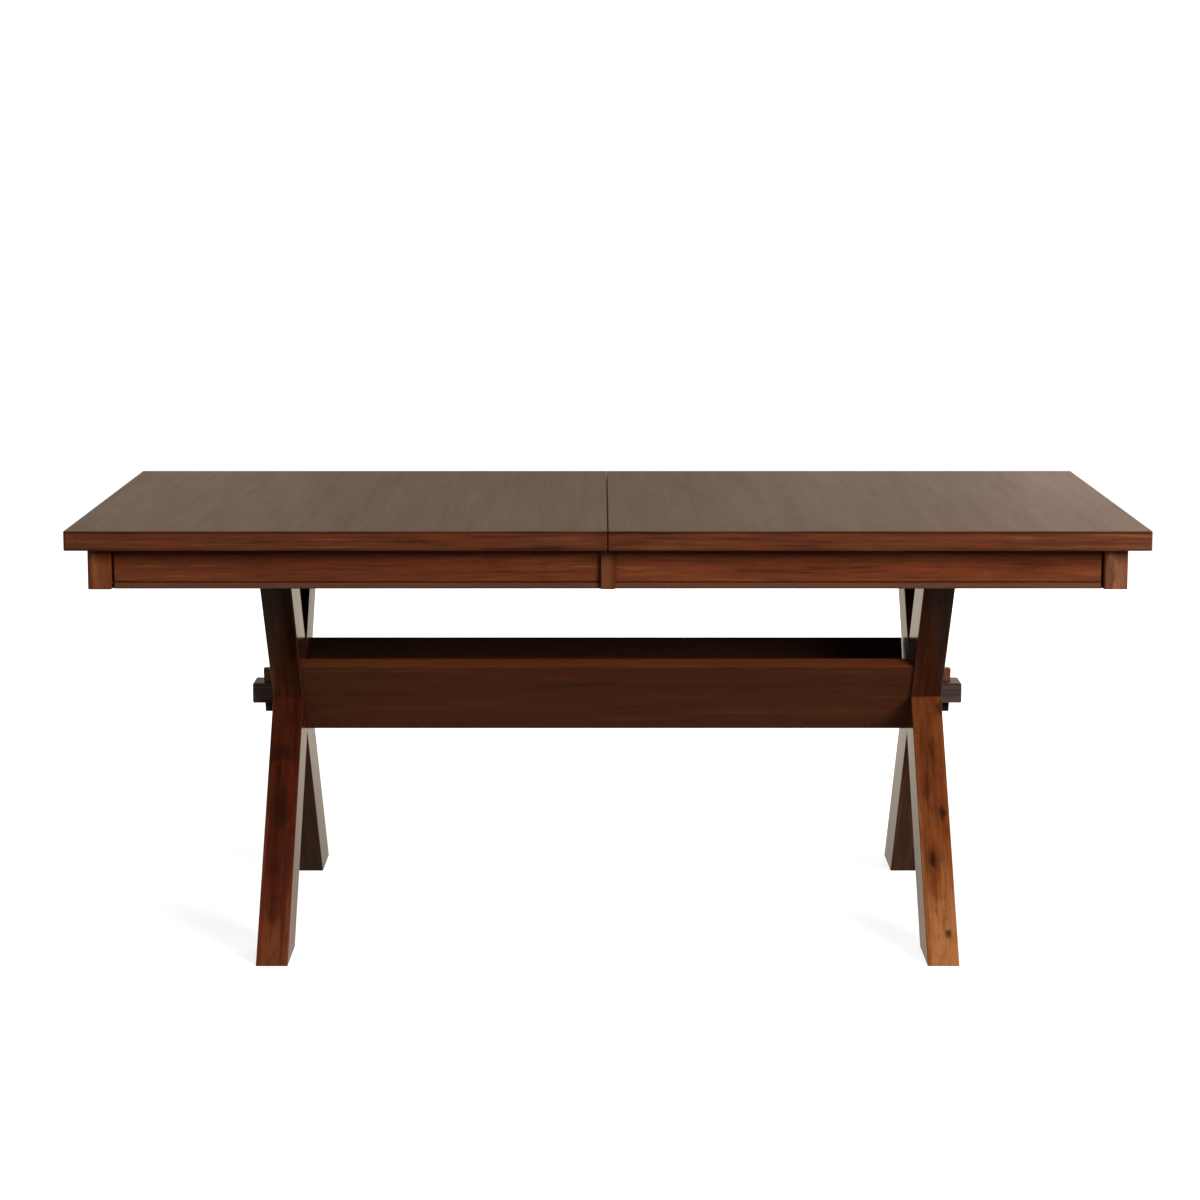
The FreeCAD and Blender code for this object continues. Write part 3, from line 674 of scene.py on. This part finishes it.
# %% [markdown]
# ## The legs
# The four leg beams lean by about 42 degrees, so their grain is turned by that angle first and then laid
# along X. One wood could serve for all four, but each beam is a plank of its own. The right front one is pale
# and knotty, and the left front one is red and dark. Towards the feet both are painted paler, a painted light
# where more light reaches them, and above the crossing darker, a painted shade. Places along a leg are
# measured from the crossing.

# %% Leg grain
LEAN = 41.71
CROSSING_HEIGHT = 408.02 * MM
FRONT_FOOT, BACK_FOOT = (LEAN, 90, 0), (-LEAN, 90, 0)
# The front face of a beam lies this far from the crossing's middle, in millimetres.
LEG_FACE = -52
LEG_ROUGH = 0.17


def leg_pith(turn, node):
    """The Mapping location that puts the crossing of a leg's trestle at zero."""
    lean = math.radians(turn[0])
    low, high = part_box(node)
    return (-CROSSING_HEIGHT * math.cos(lean), CROSSING_HEIGHT * math.sin(lean), (low.x + high.x) / 2)


def dress_leg(node, name, colours, turn, knots=(), **layers):
    """Wood that leans with one leg beam, with knots in its front face."""
    layers.update(rough=LEG_ROUGH, knots=in_face(knots, LEG_FACE))
    dress(stained_wood(name, colours, turn, leg_pith(turn, node), **layers), node)


print("leg grain leans by", LEAN, "degrees, crossing at", CROSSING_HEIGHT / MM, "mm")

# %% Left front leg
# Knots in millimetres: along the leg, across it, half length, half width, and strength.
left_knots = (
    (-168, 6, 13, 19, 0.75),
    (-285, 2, 45, 14, 0.75),
    (-400, 4, 22, 12, 0.7),
    (-465, 4, 40, 8, 0.6),
    (-60, -14, 45, 5, 0.6),
)
# A red beam with close rings, almost black in its streaks and glossier than the boards above. It is painted
# paler at the foot, a painted light, and darker above the crossing, a painted shade.
dress_leg(
    "left_front_leg", "acacia_red_leg_satin_lacquer", ("#280e08", "#471e10", "#67361e"), FRONT_FOOT,
    knots=left_knots, spacing=9, edge=0.6, red="#5c1e10", mottle=0.6,
    fades=((60, -20, -0.4, 0.0), (-360, -560, -0.04, 0.22)),
)

# %% Right front leg
right_knots = (
    (-385, 7, 12, 7, 0.95),
    (-388, 7, 20, 13, 0.4),
    (-430, 9, 36, 5, 0.3),
    (-288, -13, 12, 6, 0.85),
    (-286, -11, 20, 11, 0.4),
    (-532, -10, 8, 4, 0.85),
    (-505, -6, 18, 3, 0.35),
    (-162, -2, 28, 7, 0.6),
    (-236, 12, 18, 10, 0.35),
    (-69, -24, 12, 8, 0.8),
)
# A pale, knotty beam with black knots, clouds of stain and the same gloss. Towards the foot it is painted
# honey brown, a painted light, and above the crossing darker, a painted shade.
dress_leg(
    "right_front_leg", "acacia_knotty_leg_satin_lacquer", ("#4a210f", "#6e3a1c", "#935e36"), FRONT_FOOT,
    knots=right_knots, spacing=11, edge=0.6, red="#6b3014", mottle=0.65,
    fades=((60, -20, -0.5, 0.0), (-330, -560, -0.03, 0.34)),
)

# %% Back legs
# The two beams that end behind: dark brown and plain, with a pale sheen where they mirror the paper. Along
# their length they are painted lighter and darker, a painted light and shade.
dress_leg(
    "left_back_leg", "acacia_dark_leg_satin_lacquer", ("#230f08", "#401f11", "#61331c"), BACK_FOOT,
    spacing=8, mottle=0.4, fades=((240, 60, -0.10, 0.08), (-60, -200, 0.0, -0.16)),
)
dress_leg(
    "right_back_leg", "acacia_brown_leg_satin_lacquer", ("#2b140c", "#482415", "#633722"), BACK_FOOT,
    spacing=8, mottle=0.3, fades=((240, -200, -0.04, 0.12),),
)

# %% [markdown]
# ## Trough, rail and wedges
# Two boards make a V-shaped trough along the rail. The rail's ends come through the crossings as tenons, and
# a wedge through each tenon pulls the joint tight. Inside the trough the boards are painted dark, a painted
# shade, and their top edges a lighter red, a painted highlight. Painting these faces would need a mesh of
# their own, so the direction of the face picks the colour. The rail is a greyer board, and the wedges are
# painted darker below the tenon, a painted shade.

# %% Trough boards
TROUGH_SHINE = 0.03
TROUGH = dict(
    colours=("#3a1c10", "#57301c", "#6c4026"), turn=ALONG_X, pith=(0, 0.1, -0.2), spacing=14, rough=0.4,
    shares=(0.50, 0.22, 0.04, 0.24), spread=0.42, red="#5e2d1c",
)
# Painted highlight where a face looks up, painted shade where it looks into the trough: start, full, share.
LIT_EDGE_START, LIT_EDGE_FULL, LIT_EDGE_SHARE = 0.3, 0.6, 0.35
INSIDE_SHADE_START, INSIDE_SHADE_FULL, INSIDE_SHADE_SHARE = 0.1, 0.4, 0.85


def trough_board(name, side):
    """Brown, a painted highlight on the top edge, painted shade within the trough. side: -1 front, 1 behind.
    """
    wood = new_material(name)
    colour, gloss, height = wood_layers(wood, **TROUGH)
    normal = add(wood, "NewGeometry", out="Normal")
    lit_edge = add(wood, "SeparateXYZ", {0: normal}, out="Z")
    # Painted highlight: faces that look up, along the board's top edge, are mixed to a lighter red.
    lit_edge = add(wood, "MapRange", {0: lit_edge, 1: LIT_EDGE_START, 2: LIT_EDGE_FULL, 4: LIT_EDGE_SHARE})
    colour = add(wood, "Mix", {0: lit_edge, 6: colour, 7: linear("#7a391b")}, out=2, data_type="RGBA")
    # Painted shade: faces that look into the trough are mixed to a dark colour.
    inside_shade = add(wood, "SeparateXYZ", {0: normal}, out="Y")
    inside_shade = {0: inside_shade, 1: -INSIDE_SHADE_START * side, 2: -INSIDE_SHADE_FULL * side, 4: INSIDE_SHADE_SHARE}
    inside_shade = add(wood, "MapRange", inside_shade)
    colour = add(wood, "Mix", {0: inside_shade, 6: colour, 7: linear("#2c211c")}, out=2, data_type="RGBA")
    return lacquer(wood, colour, gloss, height, TROUGH_SHINE)


# Wide boards with thick stain and dull lacquer: deep brown, hardly any gloss, a painted highlight on the
# edge.
dress(trough_board("acacia_trough_front_dull_lacquer", -1), "trough_front_board")
dress(trough_board("acacia_trough_back_dull_lacquer", 1), "trough_back_board")

# %% Rail and wedges
# The rail shows only its ends: grey-brown and dull, because cut fibres drink the stain and scatter light.
rail = stained_wood(
    "acacia_rail_satin_lacquer", ("#362a25", "#51443e", "#6a5b55"), ALONG_X, (0, 0.04, -0.36),
    spacing=5, rough=0.5,
)
dress(rail, "stretcher_rail")
# Wedges whittled from lighter wood: warm brown above the tenon, painted almost black below it as painted
# shade, and dull.
wedge = stained_wood(
    "acacia_wedge_satin_lacquer", ("#2a1812", "#70432c", "#906448"), ALONG_Z, (0, 0.05, 0.6),
    spacing=5, rough=0.4, fades=((430, 388, 0.1, -0.26),),
)
dress(wedge, "left_wedge", "right_wedge")

# %% [markdown]
# ## Under the top
# The bearers and the corner braces are plain stained hardwood. The slides are left bare and waxed, so that
# they run, and show the pale colour of the wood. They hardly show from the front and could be left plain, but
# they come into view when the top is open, so they get the same recipe.

# %% Bearers, braces, slides
# Rubberwood with one thin coat of stain: a plain mid brown with little figure and hardly any gloss.
bearer = stained_wood(
    "rubberwood_bearer_thin_stain", ("#3a2014", "#573322", "#6d4530"), ALONG_Y, (0, 0.5, -0.6),
    spacing=6, rough=0.55,
)
braces = [f"{half}_{side}_brace" for half in ("left", "right") for side in ("front", "back")]
dress(bearer, "left_bearer", "right_bearer", *braces)
# Bare beech, rubbed with wax: pale straw, with fine short streaks and a dull sheen.
slide = stained_wood(
    "bare_waxed_beech_slide", ("#a67c50", "#c19a6b", "#d3b284"), ALONG_X, (0, 0.3, -0.65),
    spacing=4, rough=0.5, corner=0.4, shares=(0.25, 0.25, 0.15, 0.35),
)
runners = [f"{half}_{side}_runner" for half in ("left", "right") for side in ("front", "back")]
dress(slide, *runners, "front_slide_rail", "back_slide_rail", "slide_stops", "seam_dowels")

# %% [markdown]
# ## Plated steel
# The latches under the seam are pressed from steel and zinc plated, which leaves a cool grey with faint
# clouds. The screws are the same steel, a little brighter. One flat grey could do for both, but plating is
# never even. Roughness more than colour tells the two apart.

# %% Zinc plating
ZINC_CLOUD = 2.5


def plated_steel(name, dark, light, smooth, dull):
    """Zinc-plated steel with small clouds, between two greys and two roughnesses."""
    steel = new_material(name)
    spot = add(steel, "TexCoord", out="Object")
    cloud = add(steel, "TexNoise", {"Vector": spot, "Scale": 1000 / ZINC_CLOUD, "Detail": 3.0})
    gloss = add(steel, "MapRange", {0: cloud, 3: smooth, 4: dull})
    tint = add(steel, "Mix", {0: cloud, 6: linear(dark), 7: linear(light)}, out=2, data_type="RGBA")
    shader = add(steel, "BsdfPrincipled", {"Base Color": tint, "Roughness": gloss, "Metallic": 1.0})
    add(steel, "OutputMaterial", {"Surface": shader})
    return steel


# Zinc plating gives the eye a cool grey mirror, blurred unevenly. Screws are tumbled, so theirs is clearer.
latch = plated_steel("zinc_plated_latch_steel", "#8f9296", "#b9bcc0", 0.22, 0.45)
dress(latch, *[f"{side}_latch_{part}" for side in ("front", "back") for part in ("plate", "keeper", "lever")])
screw_steel = plated_steel("bright_zinc_screw_steel", "#a3a6a9", "#c9cbce", 0.18, 0.35)
print("steel:", latch.name, "and", screw_steel.name, "with clouds of", ZINC_CLOUD, "mm")

# %% [markdown]
# ## Screws
# The runners, the corner braces and the latch plates are held by countersunk screws with a cross recess. A
# thread never shows, so only the head is made. It starts as a cylinder. Its inner end is narrowed to a cone,
# its rim is bevelled, and a bar cut in twice, a quarter turn apart, leaves the cross. One head is modelled,
# then copied.

# %% The cross recess
HEAD_RADIUS, HEAD_DEPTH = 4.0 * MM, 2.6 * MM
BAR = (4.4 * MM, 1.0 * MM, 2.4 * MM)


def cut_bar(screw, turn):
    """Cuts one slot of the cross recess into the outer face, which looks along -Z."""
    bpy.ops.object.select_all(action="DESELECT")
    bpy.ops.mesh.primitive_cube_add(size=1, location=(0, 0, -HEAD_DEPTH / 2), rotation=(0, 0, turn))
    bar = bpy.context.object
    bar.scale = BAR
    bpy.ops.object.transform_apply(location=True, rotation=True, scale=True)
    cut = screw.modifiers.new("cross", "BOOLEAN")
    cut.operation = "DIFFERENCE"
    cut.object = bar
    cut.solver = "EXACT"
    bpy.context.view_layer.objects.active = screw
    bpy.ops.object.modifier_apply(modifier=cut.name)
    bpy.data.objects.remove(bar, do_unlink=True)


print("cross recess:", round(BAR[0] / MM, 1), "mm long and", round(BAR[1] / MM, 1), "mm wide")

# %% One screw head
HEAD_SIDES, CONE, RIM = 24, 0.5, 0.25 * MM
FIRST_SLOT, SECOND_SLOT = math.radians(20), math.radians(110)
# A face looks straight in or out where its normal has at least this much of Z.
STRAIGHT = 0.9
bpy.ops.object.select_all(action="DESELECT")
bpy.ops.mesh.primitive_cylinder_add(
    vertices=HEAD_SIDES, radius=HEAD_RADIUS, depth=HEAD_DEPTH, location=(0, 0, 0)
)
head = bpy.context.object
head.name = "screw_head"
for face in head.data.polygons:
    face.select = face.normal.z > STRAIGHT
bpy.ops.object.mode_set(mode="EDIT")
bpy.ops.mesh.select_mode(type="FACE")
bpy.ops.transform.resize(value=(CONE, CONE, 1))
bpy.ops.object.mode_set(mode="OBJECT")
for face in head.data.polygons:
    face.select = face.normal.z < -STRAIGHT
bpy.ops.object.mode_set(mode="EDIT")
bpy.ops.mesh.bevel(offset=RIM, segments=2)
bpy.ops.object.mode_set(mode="OBJECT")
cut_bar(head, FIRST_SLOT)
cut_bar(head, SECOND_SLOT)
head.data.materials.clear()
head.data.materials.append(screw_steel)
print("screw head:", len(head.data.polygons), "faces,", round(2 * HEAD_RADIUS / MM, 1), "mm across")

# %% Setting screws
PROUD = 0.15 * MM
SMOOTH_ANGLE = math.radians(35)


def set_screws(name, body, places, outward=(0, 0, -1), size=1.0):
    """Copies the head to each place in metres, so that it looks outward, as one piece on a body."""
    copies = []
    for place in places:
        bpy.ops.object.select_all(action="DESELECT")
        head.select_set(True)
        bpy.context.view_layer.objects.active = head
        bpy.ops.object.duplicate(linked=False)
        screw = bpy.context.object
        screw.scale = (size, size, size)
        screw.rotation_euler = Vector(outward).to_track_quat("-Z", "Y").to_euler()
        rise = PROUD - HEAD_DEPTH / 2 * size
        screw.location = Vector(place) + Vector(outward).normalized() * rise
        bpy.ops.object.transform_apply(location=True, rotation=True, scale=True)
        copies.append(screw)
    for screw in copies:
        screw.select_set(True)
    bpy.ops.object.join()
    piece = bpy.context.object
    piece.name = name
    bpy.ops.object.shade_smooth_by_angle(angle=SMOOTH_ANGLE)
    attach(piece, body)
    print(name, "with", len(places), "screws on", body)


print("screws: heads stand", round(PROUD / MM, 2), "mm proud")

# %% Runner screws
# Places along the table, in metres from its middle.
RUNNER_SCREWS = (0.80, 0.70, 0.46, 0.12)
for half, outer in (("left", -1), ("right", 1)):
    for side in ("front", "back"):
        low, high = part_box(f"{half}_{side}_runner")
        y = (low.y + high.y) / 2
        spots = [(outer * x, y, low.z) for x in RUNNER_SCREWS]
        set_screws(f"{half}_{side}_runner_screws", f"{half}_half", spots)

# %% Brace screws
BRACE_SCREWS = (-20 * MM, 20 * MM)
for half, sx in (("left", -1), ("right", 1)):
    for side, sy in (("front", -1), ("back", 1)):
        low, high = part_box(f"{half}_{side}_brace")
        middle = (low + high) / 2
        spots = [(middle.x + sx * s, middle.y - sy * s, middle.z) for s in BRACE_SCREWS]
        set_screws(f"{half}_{side}_brace_screws", f"{half}_half", spots, outward=(-sx, -sy, 0))

# %% Latch screws
LATCH_SCREW, PLATE_THICK = 0.7, 2.0 * MM
PLATE_FACE = LIP_FOOT * MM - PLATE_THICK
# Metres from the seam, and from the middle of the plate.
PLATE_SCREWS = ((-0.014, -0.0135), (-0.052, 0.012))
KEEPER_SCREWS = ((0.053, -0.012), (0.053, 0.012))
for side, sy in (("front", -1), ("back", 1)):
    low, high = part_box(f"{side}_latch_plate")
    y = (low.y + high.y) / 2
    plate_spots = [(x, y + sy * off, PLATE_FACE) for x, off in PLATE_SCREWS]
    set_screws(f"{side}_plate_screws", "left_half", plate_spots, size=LATCH_SCREW)
    keeper_spots = [(x, y + off, PLATE_FACE) for x, off in KEEPER_SCREWS]
    set_screws(f"{side}_keeper_screws", "right_half", keeper_spots, size=LATCH_SCREW)
bpy.data.objects.remove(head, do_unlink=True)
